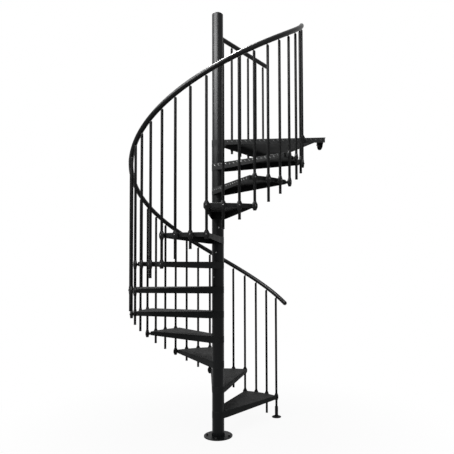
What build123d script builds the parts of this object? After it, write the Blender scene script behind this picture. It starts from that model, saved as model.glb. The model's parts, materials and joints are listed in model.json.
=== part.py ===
"""Spiral staircase: a steel kit stair that climbs counter-clockwise round a
centre pole, with eleven folded treads, a three-sided landing and a round
handrail on slim balusters.

Millimetres and degrees. +Z is up. The origin is on the pole's axis, on the
underside of the base flange, which stands on the floor. Headings are turned
from +X towards +Y.
"""
from build123d import *
import math
import os

os.makedirs("parts", exist_ok=True)

# Steps
riser = 222.0
tread_count = 11
tread_turn = 27.87
first_heading = 40.7
bars_per_tread = 3

# Centre pole
pole_radius = 50.8
pole_wall = 4.0
pole_overrun = 190.0
pole_fit = 0.2
sleeve_radius = 54.0
cap_dome = 22.0
cap_lip = 5.0
cap_plug_length = 30.0

# Base flange
flange_radius = 128.0
flange_thickness = 8.0
flange_edge_round = 2.0
flange_bolt_circle_radius = 100.0
flange_bolt_radius = 7.0
flange_bolt_count = 4
flange_bolt_heading = 78.0
collar_radius = 58.0
collar_height = 26.0

# Folded sheet treads
sheet = 4.0
fold_round = 3.0
hub_radius = 55.0
tread_radius = 738.0
nose_angle = 2.2
tail_angle = 0.5
skirt_at_hub = 60.0
skirt_at_rim = 35.0

# Landing
landing_near_heading = -7.5
landing_near_offset = -24.0
landing_far_heading = 52.0
landing_far_offset = -22.0
landing_edge_heading = 22.26
landing_edge_distance = 834.5
landing_near_skirt = 46.0
landing_lip = 8.0
lug_inset = 83.0
lug_top_width = 96.0
lug_tip_radius = 40.0
lug_drop = 98.0
lug_thickness = 8.0
lug_hole_radius = 6.5
lug_hole_drop = 57.0

# Balusters
bar_reach = 32.0
bar_radius = 11.0
plug_radius = 12.0
plug_height = 7.0
plug_round = 3.0

# Clamps that hold the balusters to the treads and the landing
clamp_drop = 21.0
clamp_height = 70.0
clamp_half_width = 24.0
clamp_end_half_width = 12.0
clamp_taper = 24.0
clamp_wall = 3.5
clamp_fit = 0.1
neck_width = 24.0
neck_height = 20.0

# Floor foot under the first baluster
foot_radius = 46.0
foot_rim = 5.0
foot_cone_radius = 20.0
foot_cone_height = 17.0
foot_sleeve_radius = 16.0
foot_sleeve_height = 105.0

# Handrail on the spiral
rail_radius = 21.0
rail_height = 1000.0
rail_first = -1.05
rail_last = 33.35
rail_joints = (7.4, 16.4, 25.4)
joint_radius = 21.8
joint_length = 34.0
joint_fit = 0.1

# Domed fittings between the balusters and a rail
dome_drop = 41.0
pin_radius = 5.0
pin_sink = 3.5

# Straight rail on the landing's far side
landing_rail_height = 975.0
landing_rail_start = 62.0
landing_rail_end = 860.0
landing_bar_first = 95.0
landing_bar_step = 138.0
landing_bar_count = 6
landing_bar_tail = 26.0
socket_radius = 27.0
socket_start = 12.0

# Worked out from the dimensions above
bar_circle = tread_radius + bar_reach
bar_turn = tread_turn / bars_per_tread
bar_rise = riser / bars_per_tread
last_bar = tread_count * bars_per_tread
clamp_foot = clamp_drop + clamp_height / 2
clamp_half_depth = bar_radius + clamp_wall
bar_hang = rail_height + riser + clamp_foot
landing_top = riser * (tread_count + 1)
landing_rail_z = landing_top + landing_rail_height
landing_rail_offset = landing_far_offset + bar_reach
landing_bar_hang = landing_rail_height + clamp_foot + landing_bar_tail
pole_top = landing_rail_z + pole_overrun
tail_heading = tread_turn - tail_angle
pole_bore = pole_radius + pole_fit
rail_slope = math.degrees(math.atan(bar_rise / (bar_circle * math.radians(bar_turn))))
rail_pitch = riser * 360.0 / tread_turn
pin_shift = dome_drop * math.sin(math.radians(rail_slope)) ** 2 / bar_rise


def polar(radius, heading):
    """Point in plan at a radius from the pole's axis and a heading."""
    angle = math.radians(heading)
    return (radius * math.cos(angle), radius * math.sin(angle))


def bar_heading(index):
    """Heading of a baluster on the spiral, counted from 0 at the foot."""
    return first_heading + bar_turn * index


def rail_z(index):
    """Height of the handrail's centre over a baluster."""
    return riser + rail_height + bar_rise * index


def upright(point, heading, height):
    """Plane at a point in plan: its x runs along the heading and its z is up."""
    x, y = point
    dx, dy = polar(1.0, heading)
    return Plane(origin=(x, y, height), x_dir=(dx, dy, 0), z_dir=(0, 0, 1))


def outward(point, heading, height):
    """Plane that faces out along a heading: its x is level and its y is up."""
    x, y = point
    dx, dy = polar(1.0, heading)
    return Plane(origin=(x, y, height), x_dir=(-dy, dx, 0), z_dir=(dx, dy, 0))


def tangent_point(corner, side):
    """Where the line from a plan point touches the hub, left (1) or right (-1)."""
    distance = math.hypot(*corner)
    heading = math.degrees(math.atan2(corner[1], corner[0]))
    return polar(hub_radius, heading + side * math.degrees(math.acos(hub_radius / distance)))


def save(part, name):
    """Label a finished piece and write its STEP file."""
    part.label = name
    export_step(part, f"parts/{name}.step")


# ---------------------------------------------------------------- pole and base
def make_base_flange():
    with BuildPart() as base_flange:
        Cylinder(flange_radius, flange_thickness, align=(Align.CENTER, Align.CENTER, Align.MIN))
        with Locations((0, 0, flange_thickness)):
            Cylinder(collar_radius, collar_height, align=(Align.CENTER, Align.CENTER, Align.MIN))
            Cylinder(
                pole_bore,
                collar_height,
                align=(Align.CENTER, Align.CENTER, Align.MIN),
                mode=Mode.SUBTRACT,
            )
        with PolarLocations(flange_bolt_circle_radius, flange_bolt_count, flange_bolt_heading):
            Hole(flange_bolt_radius)
        rims = base_flange.edges().filter_by(GeomType.CIRCLE).group_by(SortBy.RADIUS)[-1]
        fillet(rims.sort_by(Axis.Z)[-1], flange_edge_round)
    save(base_flange.part, "base_flange")


def make_centre_pole():
    with BuildPart() as centre_pole:
        with BuildSketch(Plane.XY.offset(flange_thickness)):
            Circle(pole_radius)
            Circle(pole_radius - pole_wall, mode=Mode.SUBTRACT)
        extrude(amount=pole_top - flange_thickness)
    save(centre_pole.part, "centre_pole")


def make_pole_spacers():
    """One sleeve under each tread's hub and one under the landing's."""
    with BuildPart() as pole_spacers:
        for step in range(1, tread_count + 2):
            low = riser * (step - 1) if step > 1 else flange_thickness + collar_height
            high = riser * step - skirt_at_hub
            with BuildSketch(Plane.XY.offset(low)):
                Circle(sleeve_radius)
                Circle(pole_bore, mode=Mode.SUBTRACT)
            extrude(amount=high - low)
    save(pole_spacers.part, "pole_spacers")


def make_pole_cap():
    """Domed plug in the pole's open top."""
    inside = pole_radius - pole_wall - pole_fit
    spring = pole_top + cap_lip
    with BuildPart() as pole_cap:
        with BuildSketch(Plane.XZ):
            with BuildLine():
                Polyline(
                    (0, spring + cap_dome),
                    (0, pole_top - cap_plug_length),
                    (inside, pole_top - cap_plug_length),
                    (inside, pole_top),
                    (pole_radius, pole_top),
                    (pole_radius, spring),
                )
                TangentArc((0, spring + cap_dome), (pole_radius, spring), tangent=(1, 0))
            make_face()
        revolve(axis=Axis.Z)
    save(pole_cap.part, "pole_cap")


# ---------------------------------------------------------------------- treads
def make_tread(number):
    """A wedge of sheet folded down on its three sides, welded to a hub ring."""
    start = bar_heading((number - 1) * bars_per_tread)
    top = upright((0, 0), start, riser * number)
    nose_corner = polar(tread_radius, -nose_angle)
    tail_corner = polar(tread_radius, tail_heading)
    middle = (tail_heading - nose_angle) / 2
    side = outward((0, 0), start + middle - 90, riser * number)
    with BuildPart() as tread:
        with BuildSketch(top) as outline:
            with BuildLine():
                Line(tangent_point(nose_corner, -1), nose_corner)
                ThreePointArc(nose_corner, polar(tread_radius, middle), tail_corner)
                Line(tail_corner, tangent_point(tail_corner, 1))
                Line(tangent_point(tail_corner, 1), tangent_point(nose_corner, -1))
            make_face()
            Circle(hub_radius)
        extrude(amount=-skirt_at_hub)
        with BuildSketch(top.offset(-sheet)):
            add(outline.sketch_local)
            offset(amount=-sheet, mode=Mode.REPLACE)
        extrude(amount=-skirt_at_hub, mode=Mode.SUBTRACT)
        with BuildSketch(side):
            Polygon(
                (hub_radius, -skirt_at_hub),
                (tread_radius, -skirt_at_rim),
                (2 * tread_radius, -skirt_at_rim),
                (2 * tread_radius, -2 * skirt_at_hub),
                (hub_radius, -2 * skirt_at_hub),
                align=None,
            )
        extrude(amount=tread_radius, both=True, mode=Mode.SUBTRACT)
        with BuildSketch(top):
            Circle(hub_radius)
        extrude(amount=-skirt_at_hub)
        with BuildSketch(top):
            Circle(pole_bore)
        extrude(amount=-skirt_at_hub, mode=Mode.SUBTRACT)
        fillet(tread.faces().sort_by(Axis.Z)[-1].outer_wire().edges(), fold_round)
    save(tread.part, f"tread_{number:02d}")


# --------------------------------------------------------- balusters and clamps
def make_collar():
    """Oval collar that tapers to both ends: X along the rim, Z up the baluster."""
    half = clamp_height / 2
    with BuildPart() as collar:
        for height, half_width, half_depth in (
            (-half, clamp_end_half_width, clamp_end_half_width),
            (-half + clamp_taper, clamp_half_width, clamp_half_depth),
            (half - clamp_taper, clamp_half_width, clamp_half_depth),
            (half, clamp_end_half_width, clamp_end_half_width),
        ):
            with BuildSketch(Plane.XY.offset(height)):
                Ellipse(half_width, half_depth)
        loft(ruled=True)
    return collar.part


def make_clamps(name, seats):
    """Collars round balusters, each on a neck from a foot point on a rim."""
    collar = make_collar()
    with BuildPart() as clamps:
        for foot, heading, height, reach in seats:
            x, y = polar(reach, heading)
            bar = (foot[0] + x, foot[1] + y, height)
            with BuildSketch(outward(foot, heading, height)):
                Rectangle(neck_width, neck_height)
            extrude(amount=reach)
            with Locations(Location(bar, (0, 0, heading + 90))):
                add(collar)
            with Locations(bar):
                Cylinder(bar_radius + clamp_fit, 2 * clamp_height, mode=Mode.SUBTRACT)
    save(clamps.part, name)


def tread_seats(first_tread, last_tread):
    """Where the clamps of a run of treads sit: one at each baluster."""
    seats = []
    for number in range(first_tread, last_tread + 1):
        first = (number - 1) * bars_per_tread
        height = riser * number - clamp_drop
        for index in range(first, first + bars_per_tread + 1):
            foot = polar(tread_radius, bar_heading(index))
            seats.append((foot, bar_heading(index), height, bar_reach))
    return seats


def make_balusters(name, points, hang):
    """Rods under the rail's centre points: all hang the same way below it."""
    with BuildPart() as balusters:
        for x, y, rail in points:
            low = max(rail - hang + plug_height, foot_rim)
            with Locations((x, y, low)):
                Cylinder(
                    bar_radius,
                    rail - dome_drop - low,
                    align=(Align.CENTER, Align.CENTER, Align.MIN),
                )
    save(balusters.part, name)


def make_plugs(name, points, hang):
    """Chamfered plugs that close the balusters' lower ends."""
    with BuildPart() as plugs:
        for x, y, rail in points:
            with Locations((x, y, rail - hang + plug_round)):
                Cylinder(
                    plug_radius,
                    plug_height - plug_round,
                    align=(Align.CENTER, Align.CENTER, Align.MIN),
                )
                Cone(
                    plug_radius - plug_round,
                    plug_radius,
                    plug_round,
                    align=(Align.CENTER, Align.CENTER, Align.MAX),
                )
    save(plugs.part, name)


def make_fittings(name, points, rail_planes):
    """A dome on each baluster and a pin from it square to the rail."""
    with BuildPart() as fittings:
        for (x, y, rail), plane in zip(points, rail_planes):
            dome = Vector(x, y, rail - dome_drop)
            with Locations(dome):
                Sphere(bar_radius, arc_size1=0, align=(Align.CENTER, Align.CENTER, Align.MIN))
            with BuildSketch(plane.offset(rail_radius)):
                Circle(pin_radius)
            extrude(amount=(dome - plane.origin).length - rail_radius - pin_sink)
    save(fittings.part, name)


def make_baluster_foot():
    """Flared foot with a sleeve that the first baluster stands in."""
    x, y = polar(bar_circle, bar_heading(0))
    with BuildPart() as baluster_foot:
        with BuildSketch(Plane(origin=(x, y, 0), x_dir=(1, 0, 0), z_dir=(0, -1, 0))):
            Polygon(
                (0, 0),
                (foot_radius, 0),
                (foot_radius, foot_rim),
                (foot_cone_radius, foot_cone_height),
                (foot_sleeve_radius, foot_cone_height + foot_cone_radius - foot_sleeve_radius),
                (foot_sleeve_radius, foot_sleeve_height),
                (bar_radius + clamp_fit, foot_sleeve_height),
                (bar_radius + clamp_fit, foot_rim),
                (0, foot_rim),
                align=None,
            )
        revolve(axis=Axis((x, y, 0), (0, 0, 1)))
    save(baluster_foot.part, "baluster_foot")


def spiral_points(first, last):
    """The rail's centre over each of a run of the spiral's balusters."""
    return [
        (*polar(bar_circle, bar_heading(index)), rail_z(index)) for index in range(first, last + 1)
    ]


# --------------------------------------------------------------------- handrail
def rail_plane(index, turn):
    """Plane at the rail's centre, its z turned in the rail's upright plane.

    A turn of 0 looks up along the rail and one of -90 looks square down from it.
    """
    x, y = polar(bar_circle, bar_heading(index))
    tilt = math.radians(rail_slope + turn)
    dx, dy = polar(math.cos(tilt), bar_heading(index) + 90)
    return Plane(
        origin=(x, y, rail_z(index)),
        x_dir=(*polar(1, bar_heading(index)), 0),
        z_dir=(dx, dy, math.sin(tilt)),
    )


def rail_path(first, last):
    """Line along the rail's centre from one baluster position to another."""
    helix = Helix(rail_pitch, bar_rise * (last - first), bar_circle)
    return upright((0, 0), bar_heading(first), rail_z(first)).location * helix


def make_rail_runs(name, runs, outer, inner):
    """Bars or tubes that follow the rail from one baluster position to another."""
    with BuildPart() as rail_runs:
        for first, last in runs:
            with BuildSketch(rail_plane(first, 0)):
                Circle(outer)
                if inner:
                    Circle(inner, mode=Mode.SUBTRACT)
            sweep(path=rail_path(first, last))
    save(rail_runs.part, name)


def make_handrail():
    """Lengths of rail, and the short sleeves over the joints between them."""
    ends = [rail_first, *rail_joints, rail_last]
    for number in range(1, len(ends)):
        make_rail_runs(f"handrail_{number}", [(ends[number - 1], ends[number])], rail_radius, 0)
    half = joint_length / 2 * math.sin(math.radians(rail_slope)) / bar_rise
    sleeves = [(joint - half, joint + half) for joint in rail_joints]
    make_rail_runs("handrail_joints", sleeves, joint_radius, rail_radius + joint_fit)


def make_rail_caps(name, planes):
    """Round ends for a rail."""
    with BuildPart() as caps:
        for plane in planes:
            with Locations(plane.location):
                Sphere(rail_radius, arc_size1=0, align=(Align.CENTER, Align.CENTER, Align.MIN))
    save(caps.part, name)


# ---------------------------------------------------------------------- landing
def edge_point(along):
    """Point on the landing's straight outer edge, from the foot of its normal."""
    fx, fy = polar(landing_edge_distance, landing_edge_heading)
    dx, dy = polar(along, landing_edge_heading + 90)
    return (fx + dx, fy + dy)


def edge_along(side_heading, side_offset):
    """How far along the outer edge a side of the landing crosses it."""
    turn = math.radians(side_heading - landing_edge_heading)
    return landing_edge_distance * math.tan(turn) + side_offset / math.cos(turn)


def side_point(heading, offset, along):
    """Point in plan beside a line through the axis, to its left."""
    ax, ay = polar(along, heading)
    bx, by = polar(offset, heading + 90)
    return (ax + bx, ay + by)


near_along = edge_along(landing_near_heading, landing_near_offset)
far_along = edge_along(landing_far_heading, landing_far_offset)


def make_landing_plate():
    """Three-sided sheet folded down on two sides, with a lip on the outer edge.

    The near side's skirt is shallower than the far side's and the hub.
    """
    top = upright((0, 0), 0, landing_top)
    side = outward((0, 0), landing_edge_heading - 90, landing_top)
    near_corner = edge_point(near_along)
    far_corner = edge_point(far_along)
    wedge = math.radians(landing_far_heading - landing_near_heading)
    back = (landing_far_offset - landing_near_offset * math.cos(wedge)) / math.sin(wedge)
    with BuildPart() as landing_plate:
        with BuildSketch(top) as outline:
            Polygon(
                near_corner,
                far_corner,
                side_point(landing_near_heading, landing_near_offset, -back),
                align=None,
            )
            Circle(hub_radius)
        extrude(amount=-skirt_at_hub)
        with BuildSketch(top.offset(-sheet)):
            add(outline.sketch_local)
            offset(amount=-sheet, mode=Mode.REPLACE)
        extrude(amount=-skirt_at_hub, mode=Mode.SUBTRACT)
        with BuildSketch(side):
            Polygon(
                (hub_radius, -landing_near_skirt),
                (landing_edge_distance, -landing_near_skirt),
                (landing_edge_distance, -2 * skirt_at_hub),
                (hub_radius, -2 * skirt_at_hub),
                align=None,
            )
        extrude(amount=2 * landing_edge_distance, mode=Mode.SUBTRACT)
        with BuildSketch(side):
            Polygon(
                (landing_edge_distance - sheet, -landing_lip),
                (2 * landing_edge_distance, -landing_lip),
                (2 * landing_edge_distance, -2 * skirt_at_hub),
                (landing_edge_distance - sheet, -2 * skirt_at_hub),
                align=None,
            )
        extrude(amount=2 * landing_edge_distance, both=True, mode=Mode.SUBTRACT)
        with BuildSketch(top):
            Circle(hub_radius)
        extrude(amount=-skirt_at_hub)
        with BuildSketch(top):
            Circle(pole_bore)
        extrude(amount=-skirt_at_hub, mode=Mode.SUBTRACT)
        fillet(landing_plate.faces().sort_by(Axis.Z)[-1].outer_wire().edges(), fold_round)
    save(landing_plate.part, "landing_plate")


def make_landing_lug(name, along):
    """Plate that hangs under the landing's edge and bolts to the floor edge."""
    face = outward(edge_point(along), landing_edge_heading, landing_top)
    tip = -lug_drop + lug_tip_radius
    with BuildPart() as landing_lug:
        with BuildSketch(face):
            with BuildLine():
                Polyline(
                    (-lug_tip_radius, tip),
                    (-lug_top_width / 2, -landing_near_skirt),
                    (-lug_top_width / 2, -landing_lip),
                    (lug_top_width / 2, -landing_lip),
                    (lug_top_width / 2, -landing_near_skirt),
                    (lug_tip_radius, tip),
                )
                ThreePointArc((-lug_tip_radius, tip), (0, -lug_drop), (lug_tip_radius, tip))
            make_face()
            with Locations((0, -lug_hole_drop)):
                Circle(lug_hole_radius, mode=Mode.SUBTRACT)
        extrude(amount=-lug_thickness)
    save(landing_lug.part, name)


def landing_bar(number):
    """Distance along the landing's far side of one of its balusters."""
    return landing_bar_first + landing_bar_step * number


def landing_seats():
    """Where the clamps on the landing's two folded sides sit."""
    height = landing_top - clamp_drop
    x, y = polar(bar_circle, bar_heading(last_bar))
    side_x, side_y = polar(1, landing_near_heading)
    reach = landing_near_offset - (y * side_x - x * side_y)
    back_x, back_y = polar(reach, landing_near_heading + 90)
    seats = [((x + back_x, y + back_y), landing_near_heading - 90, height, reach)]
    for number in range(landing_bar_count):
        foot = side_point(landing_far_heading, landing_far_offset, landing_bar(number))
        seats.append((foot, landing_far_heading + 90, height, bar_reach))
    return seats


def landing_points():
    """The landing rail's centre over each of its balusters."""
    return [
        (*side_point(landing_far_heading, landing_rail_offset, landing_bar(number)), landing_rail_z)
        for number in range(landing_bar_count)
    ]


def landing_rail_plane(along):
    """Plane square to the landing's rail at a distance from the axis."""
    point = side_point(landing_far_heading, landing_rail_offset, along)
    return outward(point, landing_far_heading, landing_rail_z)


def make_landing_rail():
    with BuildPart() as landing_rail:
        with BuildSketch(landing_rail_plane(landing_rail_start)):
            Circle(rail_radius)
        extrude(amount=landing_rail_end - landing_rail_start)
    save(landing_rail.part, "landing_rail")


def make_landing_rail_socket():
    """Boss between the pole and the rail, hollowed to sit on the pole."""
    with BuildPart() as landing_rail_socket:
        with BuildSketch(landing_rail_plane(socket_start)):
            Circle(socket_radius)
        extrude(amount=landing_rail_start - socket_start)
        with Locations((0, 0, landing_rail_z)):
            Cylinder(pole_bore, 4 * socket_radius, mode=Mode.SUBTRACT)
    save(landing_rail_socket.part, "landing_rail_socket")


make_base_flange()
make_centre_pole()
make_pole_spacers()
make_pole_cap()
for step in range(1, tread_count + 1):
    make_tread(step)

make_clamps("lower_clamps", tread_seats(1, 4))
make_clamps("middle_clamps", tread_seats(5, 8))
make_clamps("upper_clamps", tread_seats(9, tread_count))
make_balusters("first_baluster", spiral_points(0, 0), bar_hang)
make_balusters("lower_balusters", spiral_points(1, 11), bar_hang)
make_balusters("middle_balusters", spiral_points(12, 22), bar_hang)
make_balusters("upper_balusters", spiral_points(23, last_bar), bar_hang)
hanging = [spiral_points(index, index)[0] for index in range(last_bar) if index % bars_per_tread]
make_plugs("baluster_plugs", hanging, bar_hang)
pins = [rail_plane(index - pin_shift, -90) for index in range(last_bar + 1)]
make_fittings("baluster_fittings", spiral_points(0, last_bar), pins)
make_baluster_foot()

make_handrail()
make_rail_caps("handrail_caps", [rail_plane(rail_first, 180), rail_plane(rail_last, 0)])

make_landing_plate()
make_landing_lug("near_landing_lug", near_along + lug_inset)
make_landing_lug("far_landing_lug", far_along - lug_inset)
make_clamps("landing_clamps", landing_seats())
make_balusters("landing_balusters", landing_points(), landing_bar_hang)
make_plugs("landing_plugs", landing_points(), landing_bar_hang)
downs = [Plane(origin=point, z_dir=(0, 0, -1)) for point in landing_points()]
make_fittings("landing_fittings", landing_points(), downs)
make_landing_rail()
make_landing_rail_socket()
make_rail_caps("landing_rail_cap", [landing_rail_plane(landing_rail_end)])
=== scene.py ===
"""Looks of the black spiral staircase: paint, plastic, fasteners, light and camera.

Metres, in the CAD model's frame: +Z up, the pole on the Z axis, the floor at 0.
"""
import json
import math

import bmesh
import bpy
from mathutils import Matrix, Vector
from mathutils.bvhtree import BVHTree


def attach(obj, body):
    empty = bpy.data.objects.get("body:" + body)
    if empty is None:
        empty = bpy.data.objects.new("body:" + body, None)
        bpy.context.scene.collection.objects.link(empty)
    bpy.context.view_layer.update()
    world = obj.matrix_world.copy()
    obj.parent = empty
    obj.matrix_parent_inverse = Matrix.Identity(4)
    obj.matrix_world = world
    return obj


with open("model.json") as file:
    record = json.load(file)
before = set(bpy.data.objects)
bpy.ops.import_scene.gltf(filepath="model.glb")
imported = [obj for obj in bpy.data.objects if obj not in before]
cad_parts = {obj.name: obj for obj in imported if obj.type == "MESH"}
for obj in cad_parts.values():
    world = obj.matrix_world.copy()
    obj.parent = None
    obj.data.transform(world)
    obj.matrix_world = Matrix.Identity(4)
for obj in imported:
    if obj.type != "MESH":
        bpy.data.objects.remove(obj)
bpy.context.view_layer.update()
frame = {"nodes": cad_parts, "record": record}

UP = Vector((0, 0, 1))

# The stair's own layout, as the CAD model is built
TREADS = 11
BARS_PER_TREAD = 3
TREAD_TURN = 27.87
FIRST_HEADING = 40.7
RISER = 0.222
SLEEVE_RADIUS = 0.054
BAR_CIRCLE = 0.770
CLAMP_DROP = 0.021
CLAMP_HALF_DEPTH = 0.0145
FLANGE_TOP = 0.008
FLANGE_BOLTS = 4
FLANGE_BOLT_RADIUS = 0.100
FLANGE_BOLT_HEADING = 78.0
LANDING_TOP = RISER * (TREADS + 1)
LANDING_FAR_HEADING = 52.0
LANDING_RAIL_OFFSET = 0.010
LANDING_BAR_FIRST = 0.095
LANDING_BAR_STEP = 0.138
LANDING_BAR_COUNT = 6
LUG_THICKNESS = 0.008

# Hexagon bolts and nuts: width across the corners, height, and their washers
BASE_BOLT_ACROSS = 0.021
BASE_BOLT_HEIGHT = 0.0075
BASE_WASHER_RADIUS = 0.0135
LUG_NUT_ACROSS = 0.019
LUG_NUT_HEIGHT = 0.010
LUG_WASHER_RADIUS = 0.012
STUD_RADIUS = 0.0058
STUD_LENGTH = 0.018
WASHER = 0.0025
CHAMFER_HEIGHT = 0.0008
CHAMFER_SHARE = 0.43

# Domed screws; the profile gives shares of the radius and of the height
CLAMP_SCREW_RADIUS = 0.0070
CLAMP_SCREW_HEIGHT = 0.0035
SET_SCREW_RADIUS = 0.0065
SET_SCREW_HEIGHT = 0.0025
SET_SCREW_SINK = 0.0005
SET_SCREW_DROP = 0.138
SET_SCREW_TURN = 15.5
SCREW_PROFILE = ((1.0, 0.0), (1.0, 0.25), (0.92, 0.62), (0.72, 0.9), (0.45, 1.0), (0.45, 0.55))

# Sides of round pieces
ROUND_SIDES = 24
WASHER_SIDES = 32

# Raised slanting marks along the top of each leading skirt
MARK_LENGTH = 0.030
MARK_WIDTH = 0.0080
MARK_HEIGHT = 0.0016
MARK_TOP_SHARE = 0.55
MARK_SINK = 0.0002
MARK_SIDES = 12
MARK_STEP = 0.042
MARK_DROP = 0.019
MARK_MARGIN = 0.012
# Marks on this tread and above, and on the landing, take a lighter coat: a painted highlight where the
# lamps near the top catch them.
FIRST_HIGHLIGHT_PAINTED_TREAD = 10

# How far a test ray reaches, and what still counts as flat and as upright
PROBE = 0.02
FLAT = 0.0003
UPRIGHT = 0.01

# How far the finishes' two tones spread, per metre, and the depth of their grain
CLOUD_SCALE = 7.0
CLOUD_SPREAD = (0.3, 0.7)
GRAIN_DEPTH = 0.0004

# Edges between faces that meet at more than this stay sharp
SMOOTH_ANGLE = 35.0

# Floor: half its side, how far under the feet it lies, and its grey as a lit surface
FLOOR_REACH = 40.0
FLOOR_DROP = 0.001
FLOOR_GREY = 0.62

# Share of plain white in the floor under the object; the rest shows its shadow
SHADOW_WHITE = 0.93
SHADOW_NEAR = 0.5
SHADOW_FAR = 2.6

# The surroundings' strength as light; to the eye and in reflections they are plain white
LIGHT_LEVEL = 0.55

# Camera, found from the picture's perspective
CAMERA_PLACE = (0.0, -4.4276, 1.5284)
CAMERA_YAW = -3.53
CAMERA_PITCH = 2.302
CAMERA_ROLL = -0.24
CAMERA_LENS = 38.67
CAMERA_SENSOR = 36.0
CAMERA_SHIFT = (-0.0462, 0.0394)
CAMERA_REACH = 100.0


# ------------------------------------------------------------------- materials
def set_inputs(node, **values):
    """Sets sockets by name, with spaces written as underscores."""
    for name, value in values.items():
        node.inputs[name.replace("_", " ")].default_value = value


def add_node(tree, kind, **values):
    """Adds a shader node with its sockets set."""
    node = tree.nodes.new("ShaderNode" + kind)
    set_inputs(node, **values)
    return node


def coating(name, dark, light, rough, specular, grain, bump):
    """Black finish: two near tones in soft clouds, uneven gloss and a fine grain."""
    material = bpy.data.materials.new(name)
    material.use_nodes = True
    tree = material.node_tree
    join = tree.links.new
    shader = tree.nodes["Principled BSDF"]
    set_inputs(shader, Specular_IOR_Level=specular)
    coords = add_node(tree, "TexCoord").outputs["Object"]

    clouds = add_node(tree, "TexNoise", Scale=CLOUD_SCALE, Detail=4.0, Roughness=0.6)
    join(coords, clouds.inputs["Vector"])
    tone = add_node(tree, "Mix")
    tone.data_type = "RGBA"
    tone.inputs["A"].default_value = (*dark, 1)
    tone.inputs["B"].default_value = (*light, 1)
    join(clouds.outputs["Fac"], tone.inputs["Factor"])
    join(tone.outputs["Result"], shader.inputs["Base Color"])

    least, most = CLOUD_SPREAD
    gloss = add_node(tree, "MapRange", From_Min=least, From_Max=most, To_Min=rough[0], To_Max=rough[1])
    join(clouds.outputs["Fac"], gloss.inputs["Value"])
    join(gloss.outputs["Result"], shader.inputs["Roughness"])

    speckle = add_node(tree, "TexNoise", Scale=grain, Detail=2.0)
    join(coords, speckle.inputs["Vector"])
    relief = add_node(tree, "Bump", Strength=bump, Distance=GRAIN_DEPTH)
    join(speckle.outputs["Fac"], relief.inputs["Height"])
    join(relief.outputs["Normal"], shader.inputs["Normal"])
    return material


POLE_PAINT = coating(
    "pole_paint",
    dark=(0.0016, 0.0020, 0.0023),
    light=(0.0034, 0.0040, 0.0044),
    rough=(0.34, 0.42),
    specular=0.11,
    grain=900,
    bump=0.04,
)
TREAD_COAT = coating(
    "tread_coat",
    dark=(0.0020, 0.0024, 0.0026),
    light=(0.0055, 0.0062, 0.0064),
    rough=(0.60, 0.74),
    specular=0.10,
    grain=1300,
    bump=0.22,
)
BAR_PAINT = coating(
    "baluster_paint",
    dark=(0.0012, 0.0013, 0.0014),
    light=(0.0026, 0.0028, 0.0030),
    rough=(0.40, 0.48),
    specular=0.05,
    grain=900,
    bump=0.0,
)
RAIL_COVER = coating(
    "rail_cover",
    dark=(0.0016, 0.0017, 0.0018),
    light=(0.0032, 0.0034, 0.0036),
    rough=(0.34, 0.42),
    specular=0.09,
    grain=600,
    bump=0.02,
)
NYLON = coating(
    "black_nylon",
    dark=(0.0018, 0.0018, 0.0019),
    light=(0.0040, 0.0040, 0.0042),
    rough=(0.44, 0.56),
    specular=0.09,
    grain=900,
    bump=0.10,
)
BOLT_STEEL = coating(
    "bolt_steel",
    dark=(0.0060, 0.0060, 0.0062),
    light=(0.0110, 0.0110, 0.0115),
    rough=(0.30, 0.40),
    specular=0.40,
    grain=900,
    bump=0.05,
)
# Lighter tone for the marks on the top treads and the landing: a painted highlight where light catches
# them near the top, not wear.
HIGHLIGHT_PAINTED_COAT = coating(
    "highlight_painted_coat",
    dark=(0.0080, 0.0086, 0.0090),
    light=(0.0420, 0.0430, 0.0435),
    rough=(0.30, 0.46),
    specular=0.50,
    grain=900,
    bump=0.06,
)
BRIGHT_STEEL = coating(
    "bright_steel",
    dark=(0.30, 0.30, 0.31),
    light=(0.42, 0.42, 0.43),
    rough=(0.25, 0.35),
    specular=0.50,
    grain=900,
    bump=0.05,
)

FINISH = {
    "black_steel": POLE_PAINT,
    "baluster_steel": BAR_PAINT,
    "handrail": RAIL_COVER,
    "black_plastic": NYLON,
}


def finish_of(node_name, slot_name):
    """The folded sheet has a rougher coat than the round pole."""
    if node_name.startswith(("tread_", "landing_plate")):
        return TREAD_COAT
    return FINISH[slot_name]


for part in frame["record"]["subparts"]:
    node = frame["nodes"][part["node"]]
    for slot in node.material_slots:
        slot.material = finish_of(part["node"], part["material_slot"])


# ------------------------------------------------------------------- fasteners
def polar(radius, heading, height=0.0):
    angle = math.radians(heading)
    return Vector((radius * math.cos(angle), radius * math.sin(angle), height))


def ellipse(across, deep, sides):
    """Plan points of an ellipse with the two half widths."""
    turns = [2 * math.pi * side / sides for side in range(sides)]
    return [(across * math.cos(turn), deep * math.sin(turn)) for turn in turns]


def placed(place, direction):
    """Matrix that puts +Z along a direction at a place."""
    turn = Vector(direction).to_track_quat("Z", "Y").to_matrix().to_4x4()
    return Matrix.Translation(place) @ turn


def finish_piece(name, mesh, material):
    """Turns a bmesh into one piece of the stair that rides with it."""
    data = bpy.data.meshes.new(name)
    mesh.to_mesh(data)
    mesh.free()
    data.materials.append(material)
    data.shade_smooth()
    piece = bpy.data.objects.new(name, data)
    bpy.context.scene.collection.objects.link(piece)
    with bpy.context.temp_override(object=piece, selected_editable_objects=[piece]):
        bpy.ops.object.shade_smooth_by_angle(angle=math.radians(SMOOTH_ANGLE))
    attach(piece, "root")


def skin(mesh, rings):
    """Closed surface over rings of vertices, from the lowest to the highest."""
    for lower, upper in zip(rings, rings[1:]):
        for side, vert in enumerate(lower):
            after = (side + 1) % len(lower)
            mesh.faces.new((vert, lower[after], upper[after], upper[side]))
    mesh.faces.new(rings[-1])
    mesh.faces.new(reversed(rings[0]))


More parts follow.
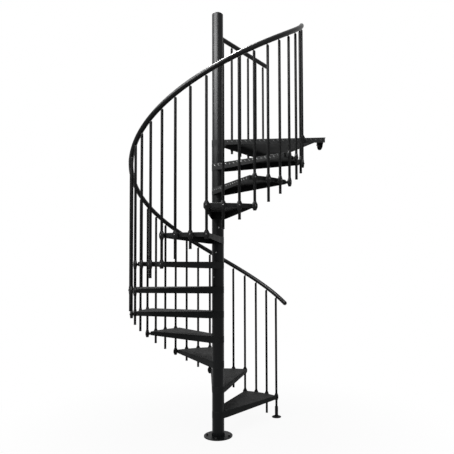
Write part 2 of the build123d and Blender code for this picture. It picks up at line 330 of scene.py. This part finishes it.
def disc(mesh, place, direction, radius, height, sides, top_radius=None):
    """Adds a solid prism or cone whose foot is at the place."""
    bmesh.ops.create_cone(
        mesh,
        cap_ends=True,
        segments=sides,
        radius1=radius,
        radius2=radius if top_radius is None else top_radius,
        depth=height,
        matrix=placed(place, direction) @ Matrix.Translation((0, 0, height / 2)),
    )


def hexagon_bolt(mesh, place, direction, across, height, washer):
    """Bolt head or nut on a washer: a hexagon with a chamfered top."""
    head = place + direction * WASHER
    disc(mesh, place, direction, washer, WASHER, WASHER_SIDES)
    disc(mesh, head, direction, across / 2, height, 6)
    top = head + direction * height
    disc(mesh, top, direction, across / 2, CHAMFER_HEIGHT, 6, across * CHAMFER_SHARE)


def domed_screw(mesh, place, direction, radius, height):
    """Domed screw head with a round socket in its middle."""
    low = placed(place, direction)
    rings = []
    for share, lift in SCREW_PROFILE:
        points = ellipse(radius * share, radius * share, ROUND_SIDES)
        rings.append([mesh.verts.new(low @ Vector((x, y, height * lift))) for x, y in points])
    skin(mesh, rings)


def base_bolts():
    """Hexagon bolts with washers on the base flange."""
    mesh = bmesh.new()
    for number in range(FLANGE_BOLTS):
        heading = FLANGE_BOLT_HEADING + 360 / FLANGE_BOLTS * number
        place = polar(FLANGE_BOLT_RADIUS, heading, FLANGE_TOP)
        hexagon_bolt(mesh, place, UP, BASE_BOLT_ACROSS, BASE_BOLT_HEIGHT, BASE_WASHER_RADIUS)
    finish_piece("base_bolts", mesh, BOLT_STEEL)


def clamp_screws():
    """A screw in the outer face of every clamp on the treads."""
    mesh = bmesh.new()
    for tread in range(TREADS):
        height = RISER * (tread + 1) - CLAMP_DROP
        for index in range(BARS_PER_TREAD * tread, BARS_PER_TREAD * (tread + 1) + 1):
            heading = FIRST_HEADING + TREAD_TURN / BARS_PER_TREAD * index
            place = polar(BAR_CIRCLE + CLAMP_HALF_DEPTH, heading, height)
            domed_screw(mesh, place, polar(1, heading), CLAMP_SCREW_RADIUS, CLAMP_SCREW_HEIGHT)
    finish_piece("clamp_screws", mesh, BOLT_STEEL)


def landing_clamp_screws():
    """A screw in the outer face of every clamp on the landing's far side."""
    mesh = bmesh.new()
    out = polar(1, LANDING_FAR_HEADING + 90)
    for number in range(LANDING_BAR_COUNT):
        distance = LANDING_BAR_FIRST + LANDING_BAR_STEP * number
        foot = polar(distance, LANDING_FAR_HEADING, LANDING_TOP - CLAMP_DROP)
        place = foot + out * (LANDING_RAIL_OFFSET + CLAMP_HALF_DEPTH)
        domed_screw(mesh, place, out, CLAMP_SCREW_RADIUS, CLAMP_SCREW_HEIGHT)
    finish_piece("landing_clamp_screws", mesh, BOLT_STEEL)


def set_screws():
    """A bright set screw in the sleeve under each tread's hub."""
    mesh = bmesh.new()
    for tread in range(TREADS + 1):
        heading = FIRST_HEADING + TREAD_TURN * tread + SET_SCREW_TURN
        height = RISER * (tread + 1) - SET_SCREW_DROP
        place = polar(SLEEVE_RADIUS - SET_SCREW_SINK, heading, height)
        domed_screw(mesh, place, polar(1, heading), SET_SCREW_RADIUS, SET_SCREW_HEIGHT)
    finish_piece("set_screws", mesh, BRIGHT_STEEL)


def lug_bolts():
    """Nuts and stud ends on the inner faces of the landing's two lugs."""
    mesh = bmesh.new()
    for mount in frame["record"]["mounts"]:
        if not mount["name"].endswith("lug_hole"):
            continue
        inward = -Vector(mount["axis"]).normalized()
        place = Vector(mount["pos_m"]) + inward * LUG_THICKNESS / 2
        hexagon_bolt(mesh, place, inward, LUG_NUT_ACROSS, LUG_NUT_HEIGHT, LUG_WASHER_RADIUS)
        stud = place + inward * (WASHER + LUG_NUT_HEIGHT)
        disc(mesh, stud, inward, STUD_RADIUS, STUD_LENGTH, ROUND_SIDES)
    finish_piece("lug_bolts", mesh, BOLT_STEEL)


# ------------------------------------------------------------- anti-slip marks
def raised_mark(mesh, place, normal, direction):
    """A low lens that stands proud of the sheet, pointed at both ends."""
    side_way = normal.cross(direction)
    rings = []
    for share, lift in ((1.0, -MARK_SINK), (MARK_TOP_SHARE, MARK_HEIGHT)):
        ring = []
        for x, y in ellipse(1.0, 1.0, MARK_SIDES):
            forward = direction * (MARK_LENGTH / 2 * share * x)
            sideways = side_way * (MARK_WIDTH / 2 * share * y * abs(y))
            ring.append(mesh.verts.new(place + forward + sideways + normal * lift))
        rings.append(ring)
    skin(mesh, rings)


def leading_side(sheet):
    """A point and the normal of a folded sheet's outer face that a climber meets first."""
    vertices = sheet.data.vertices
    middle = sum((vertex.co for vertex in vertices), Vector()) / len(vertices)
    faces = []
    for face in sheet.data.polygons:
        climb = UP.cross(face.center)
        upright = abs(face.normal.z) < UPRIGHT
        outer = face.normal.dot(face.center - middle) > 0
        if upright and outer and face.normal.dot(climb) < 0:
            faces.append(face)
    largest = max(faces, key=lambda face: face.area)
    return largest.center.copy(), largest.normal.copy()


def clear_of_edges(surface, spot, normal, along):
    """Whether the sheet is flat at a margin round a spot on every side."""
    for across, rise in ((1, 1), (1, -1), (-1, 1), (-1, -1)):
        corner = spot + (along * across + UP * rise) * MARK_MARGIN
        distance = surface.ray_cast(corner + normal * PROBE, -normal, 2 * PROBE)[3]
        if distance is None or abs(distance - PROBE) > FLAT:
            return False
    return True


def mark_skirt(name, material):
    """One row of raised marks along the leading skirt of a folded sheet."""
    sheet = frame["nodes"][name]
    corners = [vertex.co for vertex in sheet.data.vertices]
    surface = BVHTree.FromPolygons(corners, [face.vertices[:] for face in sheet.data.polygons])
    place, normal = leading_side(sheet)
    along = UP.cross(normal)
    place.z = max(corner.z for corner in corners) - MARK_DROP
    reach = [(corner - place).dot(along) for corner in corners]
    mesh = bmesh.new()
    for number in range(int((max(reach) - min(reach)) / MARK_STEP)):
        spot = place + along * (min(reach) + MARK_STEP * (number + 0.5))
        if clear_of_edges(surface, spot, normal, along):
            raised_mark(mesh, spot, normal, (along - UP).normalized())
    finish_piece(name + "_marks", mesh, material)


# The marks on the top treads and the landing take the lighter coat, a painted highlight; the lower
# marks keep the tread coat.
for number in range(1, TREADS + 1):
    mark_skirt(f"tread_{number:02d}", HIGHLIGHT_PAINTED_COAT if number >= FIRST_HIGHLIGHT_PAINTED_TREAD else TREAD_COAT)
mark_skirt("landing_plate", HIGHLIGHT_PAINTED_COAT)
base_bolts()
clamp_screws()
landing_clamp_screws()
set_screws()
lug_bolts()


# ----------------------------------------------------------------------- stage
def seen_ray(tree):
    """Socket that is 1 for the eye, in reflections and through glass, and 0 for light."""
    rays = add_node(tree, "LightPath").outputs
    seen = rays["Is Camera Ray"]
    for kind in ("Is Glossy Ray", "Is Transmission Ray"):
        either = add_node(tree, "Math")
        either.operation = "MAXIMUM"
        tree.links.new(seen, either.inputs[0])
        tree.links.new(rays[kind], either.inputs[1])
        seen = either.outputs[0]
    return seen


def stage_material():
    """White floor to the eye, with the soft shadow kept near the object; plain grey as light."""
    material = bpy.data.materials.new("floor")
    material.use_nodes = True
    tree = material.node_tree
    tree.nodes.clear()
    join = tree.links.new
    paint = add_node(tree, "BsdfDiffuse", Color=(FLOOR_GREY, FLOOR_GREY, FLOOR_GREY, 1))
    glow = add_node(tree, "Emission", Color=(1, 1, 1, 1))

    centre = add_node(tree, "VectorMath")
    centre.operation = "LENGTH"
    join(add_node(tree, "TexCoord").outputs["Object"], centre.inputs[0])
    fade = {"From_Min": SHADOW_NEAR, "From_Max": SHADOW_FAR, "To_Min": SHADOW_WHITE, "To_Max": 1.0}
    white = add_node(tree, "MapRange", **fade)
    white.interpolation_type = "SMOOTHSTEP"
    join(centre.outputs["Value"], white.inputs["Value"])

    share = add_node(tree, "Math")
    share.operation = "MULTIPLY"
    join(white.outputs["Result"], share.inputs[0])
    join(seen_ray(tree), share.inputs[1])
    mix = add_node(tree, "MixShader")
    join(share.outputs[0], mix.inputs["Fac"])
    join(paint.outputs[0], mix.inputs[1])
    join(glow.outputs[0], mix.inputs[2])
    join(mix.outputs[0], add_node(tree, "OutputMaterial").inputs["Surface"])
    return material


def add_floor():
    data = bpy.data.meshes.new("floor")
    signs = ((-1, -1), (1, -1), (1, 1), (-1, 1))
    corners = [(FLOOR_REACH * x, FLOOR_REACH * y, -FLOOR_DROP) for x, y in signs]
    data.from_pydata(corners, [], [(0, 1, 2, 3)])
    data.materials.append(stage_material())
    floor = bpy.data.objects.new("floor", data)
    bpy.context.scene.collection.objects.link(floor)


def add_world():
    """White to the eye and in reflections, a plain level as light."""
    world = bpy.data.worlds.new("studio")
    bpy.context.scene.world = world
    world.use_nodes = True
    tree = world.node_tree
    background = tree.nodes["Background"]
    background.inputs["Color"].default_value = (1, 1, 1, 1)
    level = add_node(tree, "MapRange", To_Min=LIGHT_LEVEL, To_Max=1.0)
    tree.links.new(seen_ray(tree), level.inputs["Value"])
    tree.links.new(level.outputs["Result"], background.inputs["Strength"])


def add_lamp(name, place, aim, size, power, gloss_only=False):
    """Soft rectangular lamp; a gloss-only one shows in reflections alone."""
    data = bpy.data.lights.new(name, "AREA")
    data.shape = "RECTANGLE"
    data.size, data.size_y = size
    data.energy = power
    lamp = bpy.data.objects.new(name, data)
    lamp.location = place
    lamp.rotation_euler = (Vector(aim) - Vector(place)).to_track_quat("-Z", "Y").to_euler()
    lamp.visible_diffuse = not gloss_only
    bpy.context.scene.collection.objects.link(lamp)


def add_lamps():
    """Light from the left and the right, and two sheens: along the pole, and on the rail's top."""
    add_lamp("key", place=(-3.2, -3.6, 5.2), aim=(0, 0, 2.4), size=(2.0, 1.2), power=190)
    add_lamp("fill", place=(3.5, -3.5, 4.5), aim=(0, 0, 1.5), size=(2.0, 2.0), power=40)
    add_lamp(
        "strip",
        place=(-2.14, -2.37, 4.9),
        aim=(0, 0, 3.9),
        size=(5.0, 1.4),
        power=850,
        gloss_only=True,
    )
    add_lamp(
        "top",
        place=(-0.75, -0.1, 5.9),
        aim=(0.1, -0.76, 3.4),
        size=(0.9, 0.9),
        power=700,
        gloss_only=True,
    )


def add_camera():
    data = bpy.data.cameras.new("camera")
    data.sensor_width = CAMERA_SENSOR
    data.lens = CAMERA_LENS
    data.shift_x, data.shift_y = CAMERA_SHIFT
    data.clip_end = CAMERA_REACH
    camera = bpy.data.objects.new("camera", data)
    turn = (
        Matrix.Rotation(math.radians(CAMERA_YAW), 4, "Z")
        @ Matrix.Rotation(math.radians(90 + CAMERA_PITCH), 4, "X")
        @ Matrix.Rotation(math.radians(CAMERA_ROLL), 4, "Z")
    )
    camera.matrix_world = Matrix.Translation(CAMERA_PLACE) @ turn
    bpy.context.scene.collection.objects.link(camera)
    bpy.context.scene.camera = camera


add_floor()
add_world()
add_lamps()
add_camera()
bpy.context.scene.view_settings.view_transform = "Standard"
